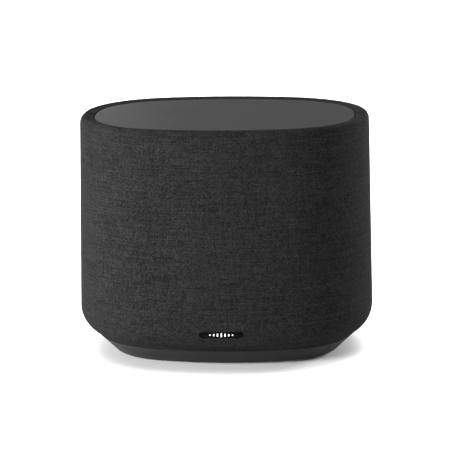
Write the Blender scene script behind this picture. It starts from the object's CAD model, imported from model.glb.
# Compact cloth-wrapped wireless subwoofer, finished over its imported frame. Lengths below are in millimetres
# until a mesh is made; the scene itself is in metres.
import math

import bmesh
import bpy
from mathutils import Matrix, Vector
from mathutils.bvhtree import BVHTree


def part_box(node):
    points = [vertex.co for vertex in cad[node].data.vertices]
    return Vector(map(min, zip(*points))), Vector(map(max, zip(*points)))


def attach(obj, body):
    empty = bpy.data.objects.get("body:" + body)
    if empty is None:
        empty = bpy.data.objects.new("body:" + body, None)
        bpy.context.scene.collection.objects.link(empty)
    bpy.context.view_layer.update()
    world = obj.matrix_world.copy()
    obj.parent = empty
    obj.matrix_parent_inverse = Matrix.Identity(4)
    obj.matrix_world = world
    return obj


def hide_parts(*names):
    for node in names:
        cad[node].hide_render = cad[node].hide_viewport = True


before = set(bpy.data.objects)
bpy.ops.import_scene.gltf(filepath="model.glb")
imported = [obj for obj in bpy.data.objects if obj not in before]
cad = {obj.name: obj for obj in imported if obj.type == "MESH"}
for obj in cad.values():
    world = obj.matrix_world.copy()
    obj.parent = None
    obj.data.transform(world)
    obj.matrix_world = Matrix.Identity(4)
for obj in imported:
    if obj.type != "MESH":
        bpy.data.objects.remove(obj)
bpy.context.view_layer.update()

MM = 0.001


# ---- the oval plan and the side line -------------------------------------------------------------

# The plan is eight arcs that run into each other: two faces, two ends and four corners. Its arcs meet in the
# directions of two right triangles with whole-number sides, as in the CAD.
HALF_WIDTH, HALF_DEPTH = 170.0, 130.1
CORNER_X, CORNER_Y, CORNER_R = 57.564, 11.356, 112.102
FACE_R, END_R = 364.867, 305.321
FACE_TURN = math.degrees(math.atan2(667, 156))
END_TURN = math.degrees(math.atan2(68, 1155))
CORNER_STEPS, FACE_STEPS = 44, 46
SEAM_STEPS = (0, 0.45, 0.9, 1.4, 2.0, 2.8, 4.0, 6.0, 9.0, 12.5)

# The side line is given as (inset from the widest line, height): the tucked-in roll, a leaning wall and the
# rim, from which the cloth falls a little towards the plate. AT is an arc's centre and R its radius.
ROLL_AT, ROLL_R, ROLL_TURN = (31.79, 53.28), 31.8, 58.5
RIM_AT, RIM_R, RIM_FALL = (11.263, 267.8), 6.4, 10.0
LEAN = 1.302     # degrees
HEM_SUM = 41.34  # the hem's inset and height together
HEM_Z, HEM_TUCK = 21.45, 4.6
LIP_D, LIP_FOOT = 20.3, 266.2
CLOTH_T = 1.2
PLATE_D, PLATE_TOP, PLATE_UNDER = 21.4, 272.4, 269.4


def arc(centre, radius, start, end, steps):
    """Points of an arc, both ends included. Angles in degrees."""
    found = []
    for i in range(steps + 1):
        a = math.radians(start + (end - start) * i / steps)
        found.append((centre[0] + radius * math.cos(a), centre[1] + radius * math.sin(a)))
    return found


def end_arc(side, start, end):
    """Half of an end, with closer steps next to the cloth's side seam."""
    seam = 180.0 if side < 0 else (0.0 if abs(start) < 90 else 360.0)
    turn_per_mm = math.degrees(1 / END_R)
    steps = SEAM_STEPS + (END_TURN / turn_per_mm,)
    turns = [seam + math.copysign(s * turn_per_mm, (start + end) / 2 - seam) for s in steps]
    turns = sorted(turns) if end > start else sorted(turns, reverse=True)
    return [(-side * (END_R - HALF_WIDTH) + END_R * math.cos(math.radians(a)),
             END_R * math.sin(math.radians(a))) for a in turns]


def plan_line():
    """Once round the widest line, anticlockwise seen from above, from the left side seam."""
    off = FACE_R - HALF_DEPTH
    parts = [
        end_arc(-1, 180, 180 + END_TURN),
        arc((-CORNER_X, -CORNER_Y), CORNER_R, 180 + END_TURN, 180 + FACE_TURN, CORNER_STEPS),
        arc((0, off), FACE_R, 180 + FACE_TURN, 360 - FACE_TURN, FACE_STEPS),
        arc((CORNER_X, -CORNER_Y), CORNER_R, 360 - FACE_TURN, 360 - END_TURN, CORNER_STEPS),
        end_arc(1, 360 - END_TURN, 360),
        end_arc(1, 0, END_TURN),
        arc((CORNER_X, CORNER_Y), CORNER_R, END_TURN, FACE_TURN, CORNER_STEPS),
        arc((0, -off), FACE_R, FACE_TURN, 180 - FACE_TURN, FACE_STEPS),
        arc((-CORNER_X, CORNER_Y), CORNER_R, 180 - FACE_TURN, 180 - END_TURN, CORNER_STEPS),
        end_arc(-1, 180 - END_TURN, 180),
    ]
    return [p for part in parts for p in part[:-1]]


def run_of(points, closed=False):
    """The length of a line of points."""
    pairs = list(zip(points, points[1:])) + ([(points[-1], points[0])] if closed else [])
    return sum(math.dist(a, b) for a, b in pairs)


PLAN = plan_line()
SEAM_GAP = run_of(PLAN, True) / 2 * MM  # metres of cloth from one side seam to the other


def rim_top(inset):
    """The cloth's height where it falls from the rim towards the plate."""
    fall = math.radians(RIM_FALL)
    return RIM_AT[1] + RIM_R * math.cos(fall) - (inset - RIM_AT[0] - RIM_R * math.sin(fall)) * math.tan(fall)


def between(a, b, steps):
    """Points on the way from a to b, without the two ends."""
    return [(a[0] + (b[0] - a[0]) * i / steps, a[1] + (b[1] - a[1]) * i / steps) for i in range(1, steps)]


def rounded(points, radius, steps, closed=True):
    """A line of points with each corner turned into a small arc."""
    found, n = [], len(points)
    for i, p in enumerate(points):
        if not closed and i in (0, n - 1):
            found.append(p)
            continue
        p, a, b = Vector(p), Vector(points[i - 1]), Vector(points[(i + 1) % n])
        u, v = (a - p).normalized(), (b - p).normalized()
        turn = math.acos(max(-1, min(1, u.dot(v))))
        if turn > math.radians(172):
            found.append(tuple(p))
            continue
        cut = min(radius / math.tan(turn / 2), 0.45 * (a - p).length, 0.45 * (b - p).length)
        r = cut * math.tan(turn / 2)
        centre = p + (u + v).normalized() * (r / math.sin(turn / 2))
        s, e = p + u * cut - centre, p + v * cut - centre
        span = s.angle_signed(e)
        for k in range(steps + 1):
            found.append(tuple(centre + Matrix.Rotation(-span * k / steps, 2) @ s))
    return found


# ---- mesh helpers --------------------------------------------------------------------------------

def add_object(name, data):
    """A new object at the origin that shows the given mesh, lamp or camera."""
    made = bpy.data.objects.new(name, data)
    bpy.context.scene.collection.objects.link(made)
    return made


def worked_object(name, work, finish=None):
    """A new object from a mesh that has been worked on."""
    mesh = bpy.data.meshes.new(name)
    work.to_mesh(mesh)
    work.free()
    if finish:
        mesh.materials.append(finish)
    return add_object(name, mesh)


def line_object(name, points, closed):
    """A bare line of edges; the points are in millimetres."""
    mesh = bpy.data.meshes.new(name)
    edges = [(i, i + 1) for i in range(len(points) - 1)]
    if closed:
        edges.append((len(points) - 1, 0))
    mesh.from_pydata([(x * MM, y * MM, z * MM) for x, y, z in points], edges, [])
    return add_object(name, mesh)


def plain_mesh(piece, name):
    """The piece with its modifiers worked in, as a plain mesh object; the old object is removed."""
    bpy.context.view_layer.update()
    graph = bpy.context.evaluated_depsgraph_get()
    mesh = bpy.data.meshes.new_from_object(piece.evaluated_get(graph), preserve_all_data_layers=True,
                                           depsgraph=graph)
    piece.modifiers.clear()
    bpy.data.objects.remove(piece)
    mesh.name = name
    return add_object(name, mesh)


def tidy_surface(piece, angle):
    """Merges doubles, turns faces outward, and shades smooth up to the given angle."""
    work = bmesh.new()
    work.from_mesh(piece.data)
    bmesh.ops.remove_doubles(work, verts=work.verts, dist=2e-6)
    bmesh.ops.dissolve_degenerate(work, edges=work.edges, dist=1e-7)
    bmesh.ops.recalc_face_normals(work, faces=work.faces)
    work.to_mesh(piece.data)
    work.free()
    shade(piece, angle)
    return piece


def shade(piece, angle):
    """Smooth shading, with edges sharper than the angle left hard."""
    piece.data.polygons.foreach_set("use_smooth", [True] * len(piece.data.polygons))
    piece.data.set_sharp_from_angle(angle=math.radians(angle))
    piece.data.update()


def tree_input(tree, name, kind, value=None):
    made = tree.interface.new_socket(name, in_out="INPUT", socket_type=kind)
    if value is not None:
        made.default_value = value


def tree_calc(tree, operation, *values):
    """A Math node in any tree; each value is a number or another node's output."""
    made = tree.nodes.new("ShaderNodeMath")
    made.operation = operation
    for socket, value in zip(made.inputs, values):
        if isinstance(value, bpy.types.NodeSocket):
            tree.links.new(value, socket)
        else:
            socket.default_value = value
    return made.outputs[0]


def end_tree(tree, geometry, given, output):
    """Ends a geometry tree: instances are made real and get the finish."""
    link = tree.links.new
    real, paint = tree.nodes.new("GeometryNodeRealizeInstances"), tree.nodes.new("GeometryNodeSetMaterial")
    link(geometry, real.inputs["Geometry"])
    link(real.outputs["Geometry"], paint.inputs["Geometry"])
    link(given.outputs["Finish"], paint.inputs["Material"])
    link(paint.outputs["Geometry"], output)


def sweep_tree():
    """Carries a profile round a closed path and keeps the length run along each."""
    tree = bpy.data.node_groups.new("swept band", "GeometryNodeTree")
    tree_input(tree, "Path", "NodeSocketGeometry")
    tree_input(tree, "Profile", "NodeSocketObject")
    tree_input(tree, "Finish", "NodeSocketMaterial")
    tree.interface.new_socket("Band", in_out="OUTPUT", socket_type="NodeSocketGeometry")
    add, link = tree.nodes.new, tree.links.new
    given, result = add("NodeGroupInput"), add("NodeGroupOutput")
    run = add("GeometryNodeSplineParameter")
    path, upright = add("GeometryNodeMeshToCurve"), add("GeometryNodeSetCurveNormal")
    upright.mode = "Z_UP"
    link(given.outputs["Path"], path.inputs["Mesh"])
    link(path.outputs["Curve"], upright.inputs["Curve"])
    drawn, profile = add("GeometryNodeObjectInfo"), add("GeometryNodeMeshToCurve")
    link(given.outputs["Profile"], drawn.inputs["Object"])
    link(drawn.outputs["Geometry"], profile.inputs["Mesh"])
    kept = []
    for name, curve in (("around", upright), ("along", profile)):
        keep = add("GeometryNodeStoreNamedAttribute")
        keep.data_type, keep.domain = "FLOAT", "POINT"
        keep.inputs["Name"].default_value = name
        link(curve.outputs["Curve"], keep.inputs["Geometry"])
        link(run.outputs["Length"], keep.inputs["Value"])
        kept.append(keep)
    band = add("GeometryNodeCurveToMesh")
    link(kept[0].outputs["Geometry"], band.inputs["Curve"])
    link(kept[1].outputs["Geometry"], band.inputs["Profile Curve"])
    end_tree(tree, band.outputs["Mesh"], given, result.inputs["Band"])
    return tree


def set_inputs(modifier, **values):
    """Sets a modifier's inputs by the socket's identifier, found from its plain name."""
    for item in modifier.node_group.interface.items_tree:
        if item.item_type == "SOCKET" and item.in_out == "INPUT":
            key = item.name.replace(" ", "_").lower()
            if key in values:
                modifier[item.identifier] = values[key]


def swept(name, path, profile, finish, closed=False):
    """A band round a closed path; profile points are (inset from the path, height)."""
    holder = line_object(name + "_path", [(x, y, 0) for x, y in path], True)
    shape = line_object(name + "_profile", [(-d, -z, 0) for d, z in profile], closed)
    maker = holder.modifiers.new("swept band", "NODES")
    maker.node_group = SWEEP
    set_inputs(maker, profile=shape, finish=finish)
    made = plain_mesh(holder, name)
    bpy.data.objects.remove(shape)
    return made


def add_surface_map(piece):
    """The two stored lengths as a UV map in metres, without a jump where the path closes."""
    mesh = piece.data
    around = [d.value for d in mesh.attributes["around"].data]
    along = [d.value for d in mesh.attributes["along"].data]
    whole = max(around) * len(set(around)) / (len(set(around)) - 1)
    uv = mesh.uv_layers.new(name="weave").data
    for face in mesh.polygons:
        here = [around[v] for v in face.vertices]
        wraps = max(here) - min(here) > whole / 2
        for loop, v in zip(face.loop_indices, face.vertices):
            u = around[v] + (whole if wraps and around[v] < whole / 2 else 0)
            uv[loop].uv = (u, along[v])


def fill_ends(piece):
    """Closes a band's open loops with flat faces."""
    work = bmesh.new()
    work.from_mesh(piece.data)
    bmesh.ops.holes_fill(work, edges=[e for e in work.edges if e.is_boundary], sides=0)
    work.to_mesh(piece.data)
    work.free()
    return piece


HARD_EDGE = math.radians(38)


def finished_copy(node, name, finish, edge):
    """A CAD node merged into clean faces, its hard edges broken as a mould leaves them."""
    mesh = cad[node].data.copy()
    mesh.name = name
    piece = add_object(name, mesh)
    work = bmesh.new()
    work.from_mesh(mesh)
    bmesh.ops.remove_doubles(work, verts=work.verts, dist=4e-6)
    bmesh.ops.dissolve_limit(work, angle_limit=math.radians(1.2), verts=work.verts, edges=work.edges)
    work.to_mesh(mesh)
    work.free()
    bevel = piece.modifiers.new("edge", "BEVEL")
    bevel.width, bevel.segments = edge * MM, 2
    bevel.limit_method, bevel.angle_limit = "ANGLE", HARD_EDGE
    bevel.use_clamp_overlap = True
    piece = plain_mesh(piece, name)
    piece.data.materials.clear()
    piece.data.materials.append(finish)
    shade(piece, 40)
    return piece


def place(piece, node, body="cabinet"):
    """The piece stands for a CAD node and moves with its body."""
    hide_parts(node)
    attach(piece, body)
    return piece


# ---- finishes ------------------------------------------------------------------------------------

class Recipe:
    """A finish built up node by node on one principled shader."""

    def __init__(self, name, roughness, metal, specular):
        self.material = bpy.data.materials.new(name)
        self.material.use_nodes = True
        self.tree = self.material.node_tree
        self.shader = self.tree.nodes["Principled BSDF"]
        self.shader.inputs["Roughness"].default_value = roughness
        self.shader.inputs["Metallic"].default_value = metal
        self.shader.inputs["Specular IOR Level"].default_value = specular

    def put(self, socket, value):
        if isinstance(value, bpy.types.NodeSocket):
            self.tree.links.new(value, socket)
        else:
            socket.default_value = value

    def node(self, kind, inputs=None, **settings):
        made = self.tree.nodes.new(kind)
        for key, value in settings.items():
            setattr(made, key, value)
        for key, value in (inputs or {}).items():
            self.put(made.inputs[key], value)
        return made

    def calc(self, operation, *values):
        return tree_calc(self.tree, operation, *values)

    def weigh(self, first, share, second, rest):
        """The sum of two amounts, each times its own share."""
        return self.calc("MULTIPLY_ADD", first, share, self.calc("MULTIPLY", second, rest))

    def here(self):
        """Object coordinates, in metres."""
        return self.node("ShaderNodeTexCoord").outputs["Object"]

    def spot(self, stretch=(1, 1, 1), turn=(0, 0, 0)):
        """Object coordinates, in metres times stretch."""
        return self.stretched(self.here(), stretch, turn)

    def stretched(self, where, stretch, turn=(0, 0, 0)):
        return self.node("ShaderNodeMapping", {"Vector": where, "Scale": stretch,
                                               "Rotation": turn}).outputs[0]

    def noise(self, where, scale, detail, rough=0.5, distortion=0.0):
        return self.node("ShaderNodeTexNoise", {"Vector": where, "Scale": scale, "Detail": detail,
                                                "Roughness": rough, "Distortion": distortion}).outputs["Fac"]

    def cells(self, where, scale, feature="F1"):
        return self.node("ShaderNodeTexVoronoi", {"Vector": where, "Scale": scale},
                         feature=feature).outputs["Distance"]

    def grade(self, amount, *stops):
        """Turns an amount into a colour; each stop is (place, colour or grey)."""
        made = self.node("ShaderNodeValToRGB", {"Fac": amount})
        band = made.color_ramp
        while len(band.elements) < len(stops):
            band.elements.new(0.5)
        for element, (at, colour) in zip(band.elements, stops):
            element.position = at
            element.color = (colour,) * 3 + (1,) if isinstance(colour, (int, float)) else colour + (1,)
        return made.outputs["Color"]

    def blend(self, amount, first, second, way="MIX"):
        made = self.node("ShaderNodeMix", data_type="RGBA", blend_type=way)
        self.put(made.inputs[0], amount)
        for socket, value in ((made.inputs[6], first), (made.inputs[7], second)):
            self.put(socket, value + (1,) if isinstance(value, tuple) else value)
        return made.outputs[2]

    def relief(self, height, depth_mm, strength):
        made = self.node("ShaderNodeBump", {"Height": height, "Distance": depth_mm * MM,
                                            "Strength": strength})
        self.put(self.shader.inputs["Normal"], made.outputs[0])

    def set(self, name, value):
        self.put(self.shader.inputs[name], value)
        return self


def moulded(name, dark, light, rough, grain, depth, specular):
    """Moulded plastic, rubber or powder paint: fine pebbled grain, slight cloudiness, uneven gloss."""
    r = Recipe(name, rough, 0.0, specular)
    where = r.spot()
    fine = r.noise(where, grain, 2.0)
    cloud = r.noise(where, 14, 3.0)
    r.set("Base Color", r.grade(r.weigh(fine, 0.45, cloud, 0.55), (0.3, dark), (0.7, light)))
    r.set("Roughness", r.calc("MULTIPLY_ADD", cloud, 0.16, rough - 0.08))
    r.relief(r.calc("ADD", fine, r.calc("MULTIPLY", r.cells(where, grain * 0.6), 0.5)), depth, 0.6)
    return r.material


def drawn_metal(name, dark, light, rough, stretch):
    """Rolled, drawn or turned metal: fine lines one way and a faint mottle."""
    r = Recipe(name, rough, 1.0, 0.5)
    lines = r.noise(r.spot(stretch), 1.0, 4.0, 0.6)
    mottle = r.noise(r.spot(), 45, 3.0)
    both = r.weigh(lines, 0.6, mottle, 0.4)
    r.set("Base Color", r.grade(both, (0.3, dark), (0.7, light)))
    r.set("Roughness", r.calc("MULTIPLY_ADD", both, 0.3, rough - 0.12))
    r.relief(lines, 0.015, 0.5)
    return r.material


WARP_PITCH, WEFT_PITCH = 1.25 * MM, 1.15 * MM
SEAM_SHADE = 3.0 * MM  # how far from a side seam the cloth is darkened by its groove


def woven_cloth():
    """Charcoal melange plain weave: uneven yarns, slubs, flecks and thin dark streaks."""
    r = Recipe("woven_cloth", 0.95, 0.0, 0.01)
    uv = r.node("ShaderNodeUVMap", uv_map="weave").outputs[0]
    wander = r.noise(r.stretched(uv, (90, 90, 1)), 1.0, 2.0)
    split = r.node("ShaderNodeSeparateXYZ", {"Vector": uv})
    u, v = split.outputs[0], split.outputs[1]
    bend = r.calc("MULTIPLY_ADD", wander, 0.9, -0.45)
    warp = r.calc("MULTIPLY_ADD", u, 1 / WARP_PITCH, bend)
    weft = r.calc("MULTIPLY_ADD", v, 1 / WEFT_PITCH, bend)
    warp_id, weft_id = r.calc("FLOOR", warp), r.calc("FLOOR", weft)
    over = r.calc("FLOORED_MODULO", r.calc("ADD", warp_id, weft_id), 2.0)
    warp_round = r.calc("SINE", r.calc("MULTIPLY", r.calc("FRACT", warp), math.pi))
    weft_round = r.calc("SINE", r.calc("MULTIPLY", r.calc("FRACT", weft), math.pi))

    def yarn(own, other):
        """The height of a yarn where it lies on top."""
        return r.calc("MULTIPLY", own, r.calc("MULTIPLY_ADD", other, 0.5, 0.5))

    def along(length, number, per_metre, seed):
        """A tone that changes slowly along each thread."""
        where = r.node("ShaderNodeCombineXYZ", {"X": r.calc("MULTIPLY", length, per_metre),
                                                "Y": r.calc("MULTIPLY", number, 7.31), "Z": seed}).outputs[0]
        return r.noise(where, 1.0, 3.0, 0.62)

    weft_top, warp_top = yarn(weft_round, warp_round), yarn(warp_round, weft_round)
    slub = along(u, weft_id, 22, 0.0)
    warp_tone = along(v, warp_id, 34, 40.0)
    crossing = r.node("ShaderNodeCombineXYZ", {"X": warp_id, "Y": weft_id, "Z": 3.0}).outputs[0]
    fleck = r.node("ShaderNodeTexWhiteNoise", {"Vector": crossing}, noise_dimensions="3D").outputs["Value"]
    height = r.node("ShaderNodeMix", {0: over, 2: weft_top, 3: warp_top}, data_type="FLOAT").outputs[0]
    streak = r.noise(r.stretched(uv, (20, 620, 1)), 1.0, 2.0, 0.6)
    patch = r.noise(r.stretched(uv, (16, 22, 1)), 1.0, 2.0)
    mixed = r.calc("MULTIPLY_ADD", slub, 0.46, r.weigh(warp_tone, 0.26, fleck, 0.32))
    fibre = r.grade(mixed, (0.32, 0.0062), (0.52, (0.0126, 0.0126, 0.0127)), (0.72, (0.0226, 0.0226, 0.0228)))
    fibre = r.blend(1.0, fibre, r.grade(streak, (0.30, 0.66), (0.42, 1.0)), "MULTIPLY")
    seam = r.calc("PINGPONG", u, SEAM_GAP / 2)
    sewn = r.grade(r.calc("MULTIPLY", seam, 1 / SEAM_SHADE), (0.2, 0.06), (0.9, 1.0))
    fibre = r.blend(1.0, fibre, sewn, "MULTIPLY")
    shaded = r.blend(1.0, fibre, r.grade(height, (0.0, 0.25), (0.6, 1.0)), "MULTIPLY")
    r.set("Base Color", r.blend(1.0, shaded, r.grade(patch, (0.25, 0.96), (0.75, 1.04)), "MULTIPLY"))
    r.set("Roughness", r.calc("MULTIPLY_ADD", height, -0.14, 0.97))
    r.relief(r.calc("ADD", height, r.calc("MULTIPLY", mixed, 0.7)), 0.16, 0.7)
    r.set("Sheen Weight", 0.0015).set("Sheen Roughness", 0.45).set("Sheen Tint", (0.75, 0.75, 0.77, 1))
    return r.material


def badge_gloss():
    r = Recipe("badge_gloss", 0.07, 0.0, 0.02)
    where = r.spot()
    smear = r.noise(where, 160, 4.0, 0.6, 0.4)
    r.set("Base Color", r.grade(smear, (0.3, (0.0003, 0.0003, 0.0004)), (0.75, (0.0012, 0.0012, 0.0014))))
    r.set("Roughness", r.calc("MULTIPLY_ADD", smear, 0.07, 0.03))
    r.relief(r.noise(where, 900, 2.0), 0.004, 0.3)
    return r.material


def badge_silver():
    r = Recipe("badge_silver", 0.4, 0.0, 0.5)
    grain = r.noise(r.spot(), 3000, 2.0)
    r.set("Base Color", r.grade(grain, (0.3, (0.62, 0.62, 0.63)), (0.7, (0.74, 0.74, 0.75))))
    r.relief(grain, 0.01, 0.4)
    return r.material


def foam():
    r = Recipe("foam", 0.95, 0.0, 0.2)
    where = r.spot()
    pores = r.cells(where, 1300)
    r.set("Base Color", r.grade(pores, (0.05, 0.004), (0.5, (0.028, 0.028, 0.030))))
    r.relief(r.calc("ADD", pores, r.noise(where, 700, 3.0)), 0.25, 0.9)
    return r.material


def fibreboard():
    """Medium density fibreboard: brown felted fibres, with darker specks."""
    r = Recipe("fibreboard", 0.86, 0.0, 0.25)
    felt = r.noise(r.spot((700, 900, 1600)), 1.0, 5.0, 0.65, 0.8)
    specks = r.noise(r.spot(), 420, 2.0)
    wood = r.grade(felt, (0.28, (0.20, 0.125, 0.065)), (0.72, (0.42, 0.29, 0.17)))
    r.set("Base Color", r.blend(r.calc("GREATER_THAN", specks, 0.66), wood, (0.12, 0.07, 0.035)))
    r.relief(felt, 0.10, 0.7)
    return r.material


def cone_paper():
    """Pressed paper pulp: matted fibres, faint rings round the driver's axis."""
    r = Recipe("cone_paper", 0.8, 0.0, 0.3)
    centre = (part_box("cone")[0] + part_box("cone")[1]) / 2
    where = r.here()
    moved = r.node("ShaderNodeMapping", {"Vector": where, "Location": (-centre.x, 0, -centre.z),
                                         "Scale": (1, 0, 1)}).outputs[0]
    reach = r.node("ShaderNodeVectorMath", {0: moved}, operation="LENGTH").outputs["Value"]
    rings = r.calc("SINE", r.calc("MULTIPLY", reach, 2 * math.pi / (4 * MM)))
    pulp = r.noise(where, 420, 6.0, 0.7, 1.5)
    r.set("Base Color", r.grade(pulp, (0.3, (0.010, 0.010, 0.011)), (0.7, (0.034, 0.034, 0.036))))
    r.relief(r.calc("MULTIPLY_ADD", rings, 0.18, pulp), 0.12, 0.7)
    return r.material


def wound(name, dark, light, pitch_mm, metal):
    """Close turns of wire, or the ribs of a film, that repeat along the driver's axis."""
    r = Recipe(name, 0.3, metal, 0.5)
    where = r.here()
    run = r.node("ShaderNodeVectorMath", {0: where, 1: (0, 1, 0)}, operation="DOT_PRODUCT").outputs["Value"]
    turn = r.calc("ABSOLUTE", r.calc("SINE", r.calc("MULTIPLY", run, math.pi / (pitch_mm * MM))))
    mottle = r.noise(where, 300, 3.0)
    r.set("Base Color", r.grade(r.weigh(turn, 0.6, mottle, 0.4), (0.2, dark), (0.8, light)))
    r.relief(turn, pitch_mm * 0.4, 0.8)
    return r.material


def spider_cloth():
    r = Recipe("spider_cloth", 0.9, 0.0, 0.2)
    threads = r.spot((1200, 1200, 1200))
    checks = r.node("ShaderNodeTexChecker", {"Vector": threads, "Scale": 1.0}).outputs["Fac"]
    fluff = r.noise(r.spot(), 900, 3.0)
    r.set("Base Color", r.grade(r.weigh(checks, 0.35, fluff, 0.65),
                                (0.25, (0.26, 0.17, 0.07)), (0.75, (0.55, 0.40, 0.20))))
    r.relief(r.calc("ADD", checks, fluff), 0.12, 0.6)
    return r.material


def ferrite():
    r = Recipe("ferrite", 0.62, 0.0, 0.5)
    where = r.spot()
    grit = r.cells(where, 1500)
    r.set("Base Color", r.grade(grit, (0.1, (0.035, 0.036, 0.040)), (0.6, (0.075, 0.077, 0.083))))
    r.relief(r.calc("ADD", grit, r.noise(where, 260, 4.0)), 0.06, 0.7)
    return r.material


def clear_plastic():
    r = Recipe("clear_plastic", 0.18, 0.0, 0.5)
    frost = r.noise(r.spot(), 1100, 3.0)
    r.set("Base Color", r.grade(frost, (0.3, (0.78, 0.79, 0.78)), (0.7, (0.92, 0.92, 0.90))))
    r.set("Roughness", r.calc("MULTIPLY_ADD", frost, 0.2, 0.1))
    r.relief(frost, 0.01, 0.4)
    r.set("Transmission Weight", 0.45)
    return r.material


def circuit_board():
    """Green solder mask, lighter over the tracks, with plated pads."""
    r = Recipe("circuit_board", 0.35, 0.0, 0.5)
    track = r.calc("LESS_THAN", r.cells(r.spot(), 320, "DISTANCE_TO_EDGE"), 0.10)
    pads = r.cells(r.spot((1, 1, 1), (0, 0, 0.2)), 240)
    mask = r.blend(track, (0.006, 0.070, 0.028), (0.022, 0.155, 0.060))
    plated = r.calc("LESS_THAN", pads, 0.16)
    r.set("Base Color", r.blend(plated, mask, (0.62, 0.60, 0.54)))
    r.set("Metallic", r.calc("MULTIPLY", plated, 0.9))
    r.relief(r.calc("ADD", plated, track), 0.05, 0.6)
    return r.material


def tape():
    r = Recipe("winding_tape", 0.4, 0.0, 0.5)
    lap = r.node("ShaderNodeTexWave", {"Vector": r.spot(), "Scale": 55.0, "Distortion": 0.4},
                 wave_type="BANDS", bands_direction="Z").outputs["Fac"]
    crease = r.noise(r.spot(), 260, 4.0)
    r.set("Base Color", r.grade(r.weigh(lap, 0.5, crease, 0.5),
                                (0.25, (0.50, 0.36, 0.07)), (0.75, (0.78, 0.62, 0.20))))
    r.relief(r.calc("ADD", lap, crease), 0.08, 0.5)
    return r.material


def insulation(name, dark, light):
    r = Recipe(name, 0.42, 0.0, 0.5)
    lay = r.noise(r.spot(), 500, 2.0)
    r.set("Base Color", r.grade(lay, (0.3, dark), (0.7, light)))
    r.set("Roughness", r.calc("MULTIPLY_ADD", lay, 0.2, 0.32))
    r.relief(lay, 0.03, 0.4)
    return r.material


FINISHES = {
    "woven_cloth": woven_cloth(),
    "satin_plastic": moulded("satin_plastic", (0.0150, 0.0150, 0.0153), (0.0182, 0.0182, 0.0186),
                             0.40, 2600, 0.018, 0.028),
    "skirt_plastic": moulded("skirt_plastic", (0.0108, 0.0108, 0.0111), (0.0143, 0.0143, 0.0147),
                             0.5, 2200, 0.016, 0.10),
    "foam": foam(),
    "moulded_plastic": moulded("moulded_plastic", (0.0052, 0.0052, 0.0054), (0.0095, 0.0095, 0.0099),
                               0.6, 1500, 0.04, 0.12),
    "screw_steel": drawn_metal("screw_steel", (0.10, 0.10, 0.105), (0.22, 0.22, 0.23), 0.36, (300, 300, 300)),
    "fibreboard": fibreboard(),
    "rubber": moulded("rubber", 0.010, 0.020, 0.82, 2800, 0.05, 0.35),
    "badge_gloss": badge_gloss(),
    "badge_silver": badge_silver(),
    "basket_steel": moulded("basket_steel", (0.012, 0.012, 0.013), (0.028, 0.028, 0.030),
                            0.42, 900, 0.05, 0.5),
    "cone_paper": cone_paper(),
    "former_film": wound("former_film", (0.42, 0.22, 0.05), (0.72, 0.45, 0.15), 6.0, 0.0),
    "copper": wound("copper", (0.45, 0.17, 0.08), (0.92, 0.46, 0.26), 0.45, 1.0),
    "spider_cloth": spider_cloth(),
    "zinc_steel": drawn_metal("zinc_steel", (0.42, 0.43, 0.45), (0.66, 0.67, 0.69), 0.34, (40, 1800, 40)),
    "ferrite": ferrite(),
    "inlet_plastic": moulded("inlet_plastic", 0.0032, 0.0060, 0.42, 1900, 0.02, 0.12),
    "brass": drawn_metal("brass", (0.55, 0.38, 0.14), (0.86, 0.66, 0.30), 0.28, (60, 2500, 60)),
    "button_plastic": moulded("button_plastic", (0.026, 0.026, 0.027), (0.040, 0.040, 0.041),
                              0.5, 2400, 0.02, 0.2),
    "shield_steel": drawn_metal("shield_steel", (0.50, 0.51, 0.52), (0.72, 0.73, 0.74), 0.3, (2200, 60, 60)),
    "clear_plastic": clear_plastic(),
    "circuit_board": circuit_board(),
    "aluminium": drawn_metal("aluminium", (0.58, 0.59, 0.61), (0.80, 0.81, 0.83), 0.36, (2000, 2000, 60)),
    "winding_tape": tape(),
    "capacitor_sleeve": insulation("capacitor_sleeve", (0.012, 0.022, 0.070), (0.024, 0.040, 0.120)),
    "wire_red": insulation("wire_red", (0.26, 0.012, 0.010), (0.42, 0.026, 0.020)),
    "wire_blue": insulation("wire_blue", (0.012, 0.030, 0.20), (0.026, 0.060, 0.34)),
    "wire_grey": insulation("wire_grey", 0.30, 0.45),
}

# Each slot of a CAD node gets the finish of its own name.
slot_of = {}
for name, piece in cad.items():
    for holder in piece.material_slots:
        slot = holder.material.name.split(".")[0] if holder.material else ""
        if slot in FINISHES:
            holder.material = FINISHES[slot]
            slot_of[name] = slot

SWEEP = sweep_tree()


# ---- cloth sleeve --------------------------------------------------------------------------------

OPENING_LAP, OPENING_R = 2.6, 6.4      # the rear panel's edge covers the cut edge of the cloth by the lap
OPENING_FROM, OPENING_TO = 90, 140     # how far back the cut starts and ends
SEAM_FROM, SEAM_REACH, SEAM_FOOT = 0.12, 0.012, 0.03  # metres: out from the middle, along the end, up
GROOVE_DEEP, GROOVE_WIDE = 0.6, 0.75   # the side seam, and the soft lips on each side of it
SEAM_LIP_HIGH, SEAM_LIP_AT, SEAM_LIP_WIDE = 0.22, 2.3, 1.1


def cloth_line():
    """The cloth's outer face, from the tuck at the top plate down to the tuck at the hem."""
    rim = arc(RIM_AT, RIM_R, 90 - RIM_FALL, 180 - LEAN, 14)
    roll = arc(ROLL_AT, ROLL_R, 180 - LEAN, 180 + ROLL_TURN, 20)
    lip = rounded([(LIP_D, LIP_FOOT), (LIP_D, rim_top(LIP_D)), rim[0]], 1.0, 5, closed=False)[:-1]
    hem = (HEM_SUM - HEM_Z, HEM_Z)
    foot = rounded([roll[-1], hem, (hem[0] + HEM_TUCK, hem[1])], 0.8, 5, closed=False)[1:]
    return lip + rim + between(rim[-1], roll[0], 16) + roll + between(roll[-1], foot[0], 3) + foot


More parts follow.
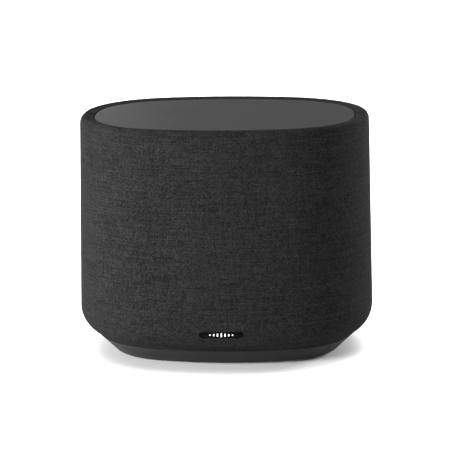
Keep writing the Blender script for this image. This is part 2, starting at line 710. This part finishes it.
def opening_block(name, width, height, radius, y0, y1, z):
    """A block with rounded corners, from y0 to y1 through the rear wall."""
    outline = []
    for sx, sz, start in ((1, 1, 0), (-1, 1, 90), (-1, -1, 180), (1, -1, 270)):
        centre = (sx * (width / 2 - radius), z + sz * (height / 2 - radius))
        outline += arc(centre, radius, start, start + 90, 10)
    work = bmesh.new()
    rows = [[work.verts.new((x * MM, y * MM, zz * MM)) for x, zz in outline] for y in (y0, y1)]
    for i in range(len(outline)):
        j = (i + 1) % len(outline)
        work.faces.new((rows[0][i], rows[0][j], rows[1][j], rows[1][i]))
    work.faces.new(rows[0])
    work.faces.new(rows[1])
    bmesh.ops.recalc_face_normals(work, faces=work.faces)
    return worked_object(name, work)


def sew_side_seams(mesh):
    """The two panels' edges are turned in and sewn, which leaves a fine groove with soft lips."""
    for vertex in mesh.vertices:
        x, y, z = vertex.co
        if abs(x) > SEAM_FROM and abs(y) < SEAM_REACH and z > SEAM_FOOT:
            off = abs(y) / MM
            drop = (GROOVE_DEEP * math.exp(-(off / GROOVE_WIDE) ** 2)
                    - SEAM_LIP_HIGH * math.exp(-((off - SEAM_LIP_AT) / SEAM_LIP_WIDE) ** 2))
            vertex.co -= vertex.normal * drop * MM


def cloth_sleeve():
    band = swept("cloth_sleeve_skin", PLAN, cloth_line(), FINISHES["woven_cloth"])
    add_surface_map(band)
    sew_side_seams(band.data)
    thick = band.modifiers.new("cloth thickness", "SOLIDIFY")
    thick.thickness, thick.offset = CLOTH_T * MM, -1
    thick.use_even_offset = False
    panel_low, panel_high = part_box("rear_panel")
    width = (panel_high.x - panel_low.x) / MM - 2 * OPENING_LAP
    height = (panel_high.z - panel_low.z) / MM - 2 * OPENING_LAP
    cutter = opening_block("cloth_opening", width, height, OPENING_R, OPENING_FROM, OPENING_TO,
                           (panel_low.z + panel_high.z) / 2 / MM)
    cut = band.modifiers.new("rear opening", "BOOLEAN")
    cut.operation, cut.solver, cut.object = "DIFFERENCE", "EXACT", cutter
    sleeve = plain_mesh(band, "cloth_sleeve_woven")
    bpy.data.objects.remove(cutter)
    sleeve.data.materials.clear()
    sleeve.data.materials.append(FINISHES["woven_cloth"])
    for face in sleeve.data.polygons:
        face.material_index = 0
    shade(sleeve, 50)
    return sleeve


sleeve = place(cloth_sleeve(), "cloth_sleeve")
run_of(cloth_line()) * MM


# ---- top plate and base skirt --------------------------------------------------------------------

PLATE_RINGS = (70, 45, 25)  # insets of the rings of faces between the flat middle and the edge
SKIRT_CORNERS = [(20.25, 21.15), (38.45, 2.95), (39.3, 2.5), (42.9, 2.5), (42.9, 5.6), (49, 5.6), (49, 8.6),
                 (39.8, 8.6), (32.7, 15.7), (32.7, 31), (29.7, 31), (29.7, 21.15)]


def top_plate():
    middle, half_way, near = PLATE_RINGS
    edge = rounded([(middle, PLATE_TOP), (PLATE_D, PLATE_TOP), (PLATE_D, PLATE_UNDER), (middle, PLATE_UNDER)],
                   0.6, 5, closed=False)
    line = [edge[0], (half_way, PLATE_TOP), (near, PLATE_TOP)] + edge[1:-1] + [(near, PLATE_UNDER), edge[-1]]
    return tidy_surface(fill_ends(swept("top_plate_satin", PLAN, line, FINISHES["satin_plastic"])), 30)


def base_skirt():
    line = rounded(SKIRT_CORNERS, 0.45, 4)
    return tidy_surface(swept("base_skirt_satin", PLAN, line, FINISHES["skirt_plastic"], closed=True), 30)


place(top_plate(), "top_plate")
place(base_skirt(), "base_skirt")


# ---- badge ---------------------------------------------------------------------------------------

BADGE_LOW, BADGE_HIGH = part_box("badge_plate")
BADGE_Z = (BADGE_LOW.z + BADGE_HIGH.z) / 2 / MM
BADGE_TILT = math.asin((ROLL_AT[1] - BADGE_Z) / ROLL_R)
BADGE_HALF_HIGH, BADGE_END_GAP = 4.05, 0.05
BADGE_FACE, BADGE_BACK = 1.2, 0.02     # how far the plate's two sides lie off the cloth
BADGE_DROP, BADGE_BEVEL = 0.4, 0.5     # its edge falls by the drop over the bevel's width
BAR_FACE, BAR_BACK = 1.38, 1.1


def badge_surface():
    """The front of the roll, for finding points on."""
    work = bmesh.new()
    rows = []
    base = Vector((0, FACE_R - HALF_DEPTH, 0))
    for x, y in arc(base.xy, 1, 264, 276, 48):
        way = Vector((x, y - base.y, 0)).normalized()
        rows.append([work.verts.new(((base + way * (FACE_R - d)) + Vector((0, 0, z))) * MM)
                     for d, z in arc(ROLL_AT, ROLL_R, 175, 225, 60)])
    for a, b in zip(rows, rows[1:]):
        for k in range(len(a) - 1):
            work.faces.new((a[k], b[k], b[k + 1], a[k + 1]))
    found = BVHTree.FromBMesh(work)
    work.free()
    return found


BADGE_ON = badge_surface()


def on_badge(x, up, lift):
    """A place on the badge: x along it, up across it, lifted off the cloth."""
    inset = ROLL_AT[0] - ROLL_R * math.cos(BADGE_TILT)
    middle = Vector((0, -HALF_DEPTH + inset, BADGE_Z))
    across = Vector((0, -math.sin(BADGE_TILT), math.cos(BADGE_TILT)))
    out = Vector((0, -math.cos(BADGE_TILT), -math.sin(BADGE_TILT)))
    start = (middle + Vector((x, 0, 0)) + across * up + out * 9) * MM
    hit, normal, _, _ = BADGE_ON.ray_cast(start, -out)
    if normal.dot(out) < 0:
        normal = -normal
    return hit + normal * lift * MM


def badge_plate():
    """A plate with round ends that lies on the roll: two grids of points joined at their edges."""
    half_h = BADGE_HALF_HIGH
    straight = (BADGE_HIGH.x - BADGE_LOW.x) / 2 / MM - BADGE_END_GAP - half_h
    columns = [straight * k / 14 for k in range(-14, 15)]
    tips = [straight + half_h * math.sin(math.radians(a)) for a in (12, 25, 38, 50, 61, 70, 78, 84, 88, 90)]
    columns = [-t for t in reversed(tips)] + columns + tips
    shares = [-1, -0.975, -0.93, -0.85, -0.6, -0.3, 0, 0.3, 0.6, 0.85, 0.93, 0.975, 1]
    work = bmesh.new()
    grids = []
    for top in (True, False):
        grid = []
        for x in columns:
            past = max(abs(x) - straight, 0)
            tall = math.sqrt(max(half_h ** 2 - past ** 2, 0))
            row = []
            for share in shares:
                up = tall * share
                edge = half_h - math.hypot(past, up)
                lift = BADGE_FACE - BADGE_DROP * max(0, 1 - edge / BADGE_BEVEL) ** 2
                row.append(work.verts.new(on_badge(x, up, lift if top else BADGE_BACK)))
            grid.append(row)
        grids.append(grid)
    for grid in grids:
        for a, b in zip(grid, grid[1:]):
            for k in range(len(shares) - 1):
                work.faces.new((a[k], b[k], b[k + 1], a[k + 1]))
    upper, lower = grids
    for k in (0, len(shares) - 1):
        for i in range(len(columns) - 1):
            work.faces.new((upper[i][k], upper[i + 1][k], lower[i + 1][k], lower[i][k]))
    return tidy_surface(worked_object("badge_plate_gloss", work, FINISHES["badge_gloss"]), 35)


def bar_tree():
    """A row of upright bars that get shorter away from the middle one."""
    tree = bpy.data.node_groups.new("row of bars", "GeometryNodeTree")
    tree_input(tree, "Base", "NodeSocketGeometry")
    tree_input(tree, "Count", "NodeSocketInt", 7)
    tree_input(tree, "Spacing", "NodeSocketFloat", 4.2 * MM)
    tree_input(tree, "Bar width", "NodeSocketFloat", 1.5 * MM)
    tree_input(tree, "Tallest", "NodeSocketFloat", 4.8 * MM)
    tree_input(tree, "Drop", "NodeSocketFloat", 1.1 * MM)
    tree_input(tree, "Finish", "NodeSocketMaterial")
    tree.interface.new_socket("Bars", in_out="OUTPUT", socket_type="NodeSocketGeometry")
    add, link = tree.nodes.new, tree.links.new
    given, result = add("NodeGroupInput"), add("NodeGroupOutput")

    def calc(operation, *values):
        return tree_calc(tree, operation, *values)

    line, size, start, step = (add(k) for k in ("GeometryNodeMeshLine", "ShaderNodeCombineXYZ",
                                                 "ShaderNodeCombineXYZ", "ShaderNodeCombineXYZ"))
    half = calc("MULTIPLY", calc("SUBTRACT", given.outputs["Count"], 1), 0.5)
    link(given.outputs["Count"], line.inputs["Count"])
    link(calc("MULTIPLY", calc("MULTIPLY", half, -1), given.outputs["Spacing"]), start.inputs["X"])
    link(given.outputs["Spacing"], step.inputs["X"])
    link(start.outputs[0], line.inputs["Start Location"])
    link(step.outputs[0], line.inputs["Offset"])
    number = add("GeometryNodeInputIndex")
    away = calc("ABSOLUTE", calc("SUBTRACT", number.outputs[0], half))
    link(given.outputs["Bar width"], size.inputs["X"])
    shorter = calc("MULTIPLY", away, given.outputs["Drop"])
    link(calc("SUBTRACT", given.outputs["Tallest"], shorter), size.inputs["Y"])
    size.inputs["Z"].default_value = 1.0
    bar, spread = add("GeometryNodeMeshCube"), add("GeometryNodeInstanceOnPoints")
    bar.inputs["Size"].default_value = (1, 1, 1)
    for name, count in (("Vertices X", 4), ("Vertices Y", 7), ("Vertices Z", 2)):
        bar.inputs[name].default_value = count
    link(line.outputs["Mesh"], spread.inputs["Points"])
    link(bar.outputs["Mesh"], spread.inputs["Instance"])
    link(size.outputs[0], spread.inputs["Scale"])
    end_tree(tree, spread.outputs["Instances"], given, result.inputs["Bars"])
    return tree


def badge_mark():
    """The row of bars, drawn flat by the tree and then laid on the plate."""
    holder = line_object("badge_bars", [(0, 0, 0), (1, 0, 0)], False)
    maker = holder.modifiers.new("row of bars", "NODES")
    maker.node_group = bar_tree()
    set_inputs(maker, finish=FINISHES["badge_silver"])
    made = plain_mesh(holder, "badge_mark_bars")
    for vertex in made.data.vertices:
        x, up, side = vertex.co
        vertex.co = on_badge(x / MM, up / MM, BAR_FACE if side > 0 else BAR_BACK)
    return tidy_surface(made, 30)


place(badge_plate(), "badge_plate")
place(badge_mark(), "badge_mark")


# ---- screws, set by one tree ---------------------------------------------------------------------

def screw_tree():
    """Pan-head screws with a crossed recess, one on each point."""
    tree = bpy.data.node_groups.new("set of screws", "GeometryNodeTree")
    tree_input(tree, "Places", "NodeSocketGeometry")
    tree_input(tree, "Head radius", "NodeSocketFloat", 3 * MM)
    tree_input(tree, "Head height", "NodeSocketFloat", 1.9 * MM)
    tree_input(tree, "Shank radius", "NodeSocketFloat", 1.3 * MM)
    tree_input(tree, "Shank length", "NodeSocketFloat", 8 * MM)
    tree_input(tree, "Recess", "NodeSocketFloat", 3.4 * MM)
    tree_input(tree, "Turn", "NodeSocketVector", (0, 0, 0))
    tree_input(tree, "Finish", "NodeSocketMaterial")
    tree.interface.new_socket("Screws", in_out="OUTPUT", socket_type="NodeSocketGeometry")
    add, link = tree.nodes.new, tree.links.new
    given, result = add("NodeGroupInput"), add("NodeGroupOutput")

    def calc(operation, *values):
        return tree_calc(tree, operation, *values)

    def lift(geometry, height):
        move, by = add("GeometryNodeTransform"), add("ShaderNodeCombineXYZ")
        link(geometry, move.inputs["Geometry"])
        link(height, by.inputs["Z"])
        link(by.outputs[0], move.inputs["Translation"])
        return move.outputs["Geometry"]

    head, crown, shank = (add(k) for k in ("GeometryNodeMeshCylinder", "GeometryNodeMeshCone",
                                           "GeometryNodeMeshCylinder"))
    for part, sides in ((head, 32), (crown, 32), (shank, 20)):
        part.inputs["Vertices"].default_value = sides
    tall, broad = given.outputs["Head height"], given.outputs["Head radius"]
    link(broad, head.inputs["Radius"])
    link(calc("MULTIPLY", tall, 0.62), head.inputs["Depth"])
    link(broad, crown.inputs["Radius Bottom"])
    link(calc("MULTIPLY", broad, 0.74), crown.inputs["Radius Top"])
    link(calc("MULTIPLY", tall, 0.4), crown.inputs["Depth"])
    link(given.outputs["Shank radius"], shank.inputs["Radius"])
    link(given.outputs["Shank length"], shank.inputs["Depth"])
    body = add("GeometryNodeMeshBoolean")
    body.operation, body.solver = "UNION", "EXACT"
    for part in (lift(head.outputs["Mesh"], calc("MULTIPLY", tall, 0.31)),
                 lift(crown.outputs["Mesh"], calc("MULTIPLY", tall, 0.6)),
                 lift(shank.outputs["Mesh"], calc("MULTIPLY", given.outputs["Shank length"], -0.48))):
        link(part, body.inputs[1])
    recess = add("GeometryNodeMeshBoolean")
    recess.operation, recess.solver = "DIFFERENCE", "EXACT"
    link(body.outputs["Mesh"], recess.inputs[0])
    for across in (True, False):
        slot, size = add("GeometryNodeMeshCube"), add("ShaderNodeCombineXYZ")
        link(given.outputs["Recess"], size.inputs["X" if across else "Y"])
        link(calc("MULTIPLY", given.outputs["Recess"], 0.27), size.inputs["Y" if across else "X"])
        link(tall, size.inputs["Z"])
        link(size.outputs[0], slot.inputs["Size"])
        link(lift(slot.outputs["Mesh"], calc("MULTIPLY", tall, 1.02)), recess.inputs[1])
    spread, turn = add("GeometryNodeInstanceOnPoints"), add("FunctionNodeEulerToRotation")
    link(given.outputs["Places"], spread.inputs["Points"])
    link(recess.outputs["Mesh"], spread.inputs["Instance"])
    link(given.outputs["Turn"], turn.inputs[0])
    link(turn.outputs[0], spread.inputs["Rotation"])
    end_tree(tree, spread.outputs["Instances"], given, result.inputs["Screws"])
    return tree


SCREWS = screw_tree()


def screw_set(node, name, places, turn, **sizes):
    """The screws of one CAD node, from the same tree."""
    holder = line_object(name + "_places", places, False)
    maker = holder.modifiers.new("set of screws", "NODES")
    maker.node_group = SCREWS
    set_inputs(maker, turn=turn, finish=FINISHES["screw_steel"], **{k: v * MM for k, v in sizes.items()})
    return place(tidy_surface(plain_mesh(holder, name), 30), node)


def islands(node):
    """The box of each separate solid in a CAD node, in millimetres."""
    work = bmesh.new()
    work.from_mesh(cad[node].data)
    bmesh.ops.remove_doubles(work, verts=work.verts, dist=4e-6)
    left, found = set(work.verts), []
    while left:
        stack, group = [left.pop()], []
        while stack:
            vertex = stack.pop()
            group.append(vertex.co.copy())
            for edge in vertex.link_edges:
                other = edge.other_vert(vertex)
                if other in left:
                    left.remove(other)
                    stack.append(other)
        low = Vector([min(p[k] for p in group) for k in range(3)]) / MM
        high = Vector([max(p[k] for p in group) for k in range(3)]) / MM
        found.append((low, high))
    work.free()
    return sorted(found, key=lambda pair: tuple(round(c, 2) for c in pair[0]))


REAR_HEAD, BASE_HEAD = 1.9, 2.0  # from a screw's outer end to the seat of its head
rear_seats = [((a.x + b.x) / 2, b.y - REAR_HEAD, (a.z + b.z) / 2) for a, b in islands("panel_screws")]
screw_set("panel_screws", "panel_screws_set", rear_seats, (-math.pi / 2, 0, 0), head_radius=3,
          head_height=REAR_HEAD, shank_radius=1.3, shank_length=5.6, recess=3.4)
base_seats = [((a.x + b.x) / 2, (a.y + b.y) / 2, a.z + BASE_HEAD) for a, b in islands("base_screws")]
screw_set("base_screws", "base_screws_set", base_seats, (math.pi, 0, 0), head_radius=3.1, head_height=1.95,
          shank_radius=1.4, shank_length=33.6, recess=3.6)


# ---- feet ----------------------------------------------------------------------------------------

TREAD_RINGS, TREAD_FIRST, TREAD_STEP = 3, 3.2, 3.4
TREAD_WIDE, TREAD_DEEP, TREAD_SLOPE = 1.25, 0.5, 0.25


def feet():
    """Rubber discs with a chamfered tread edge and three shallow rings underneath."""
    made = []
    for low, high in islands("feet"):
        radius, top = (high.x - low.x) / 2, high.z
        line = [(radius - 2, top), (0.3, top), (0, top - 0.25), (0, 0.75), (0.6, 0)]
        for k in range(TREAD_RINGS):
            near = TREAD_FIRST + k * TREAD_STEP
            far = near + TREAD_WIDE
            line += [(near, 0), (near + TREAD_SLOPE, TREAD_DEEP), (far - TREAD_SLOPE, TREAD_DEEP), (far, 0)]
        line.append((radius - 1.0, 0))
        path = arc(((low.x + high.x) / 2, (low.y + high.y) / 2), radius, 0, 360, 72)[:-1]
        made.append(fill_ends(swept("foot", path, line, FINISHES["rubber"])))
    work = bmesh.new()
    for piece in made:
        work.from_mesh(piece.data)
        bpy.data.objects.remove(piece)
    return tidy_surface(worked_object("feet_rubber", work, FINISHES["rubber"]), 28)


place(feet(), "feet")


# ---- mouldings kept in the CAD's shape, with broken edges ----------------------------------------

for node, edge in (("rear_panel", 0.35), ("power_inlet", 0.22), ("bottom_plate", 0.3)):
    place(finished_copy(node, node + "_moulding", FINISHES[slot_of[node]], edge), node)
place(finished_copy("connect_button", "connect_button_moulding", FINISHES["button_plastic"], 0.3),
      "connect_button", "connect_button")


# ---- stage, light and camera ---------------------------------------------------------------------

FLOOR_REACH = 30  # metres
SKY, SKY_TIGHTNESS, SKY_LEAST = 9.8, 6.0, 0.03
SKY_LEAN = math.radians(18)


def floor():
    r = Recipe("pale_floor", 0.9, 0.0, 0.0)
    dust = r.noise(r.spot(), 3.0, 2.0)
    r.set("Base Color", r.grade(dust, (0.3, 0.93), (0.7, 0.95)))
    mesh = bpy.data.meshes.new("floor")
    corners = [(x * FLOOR_REACH, y * FLOOR_REACH, 0) for x, y in ((-1, -1), (1, -1), (1, 1), (-1, 1))]
    mesh.from_pydata(corners, [], [(0, 1, 2, 3)])
    mesh.materials.append(r.material)
    add_object("floor", mesh)


def sky():
    """Soft light, strongest overhead and a little to the back."""
    world = bpy.data.worlds.new("soft light")
    bpy.context.scene.world = world
    world.use_nodes = True
    tree = world.node_tree
    add, link = tree.nodes.new, tree.links.new
    way, towards = add("ShaderNodeTexCoord"), add("ShaderNodeVectorMath")
    towards.operation = "DOT_PRODUCT"
    link(way.outputs["Generated"], towards.inputs[0])
    towards.inputs[1].default_value = Vector((0.0, math.sin(SKY_LEAN), math.cos(SKY_LEAN)))
    above = tree_calc(tree, "MAXIMUM", towards.outputs["Value"], 0.0)
    glow = tree_calc(tree, "MULTIPLY_ADD", tree_calc(tree, "POWER", above, SKY_TIGHTNESS), SKY, SKY_LEAST)
    link(glow, tree.nodes["Background"].inputs["Strength"])
    tree.nodes["Background"].inputs["Color"].default_value = (1, 1, 1, 1)


def panel_light(name, at, towards, size, power, tall=None):
    lamp = bpy.data.lights.new(name, "AREA")
    lamp.shape = "RECTANGLE"
    lamp.size, lamp.size_y, lamp.energy = size, tall or size, power
    made = add_object(name, lamp)
    made.location = at
    made.rotation_euler = (Vector(towards) - Vector(at)).to_track_quat("-Z", "Y").to_euler()


floor()
sky()
panel_light("left panel", (-2.24, -1.15, 0.36), (0, 0, 0.14), 1.1, 235, 0.6)
panel_light("right rear panel", (1.62, 1.16, 0.45), (0, 0, 0.14), 0.7, 50)
panel_light("back left panel", (-0.72, 2.10, 0.85), (-0.1, 0, 0.27), 0.8, 2.2)


def camera():
    """A long lens, 2.2 m away, a little to the right and 13 degrees up. Angles here are in radians."""
    turn, rise, roll, away = 0.0528, 0.2274, -0.0123, 2.2
    aim = Vector((0, 0, 0.135))
    back = Vector((math.sin(turn) * math.cos(rise), -math.cos(turn) * math.cos(rise), math.sin(rise)))
    lens = bpy.data.cameras.new("camera")
    lens.sensor_width, lens.lens = 36.0, 151.3
    lens.shift_x, lens.shift_y = -0.0025, 0.0125
    lens.clip_start, lens.clip_end = 0.05, 100
    made = add_object("camera", lens)
    made.location = aim + back * away
    look = (-back).to_track_quat("-Z", "Y")
    made.rotation_mode = "QUATERNION"
    made.rotation_quaternion = look @ Matrix.Rotation(roll, 3, "Z").to_quaternion()
    bpy.context.scene.camera = made


camera()
bpy.context.scene.view_settings.view_transform = "Standard"
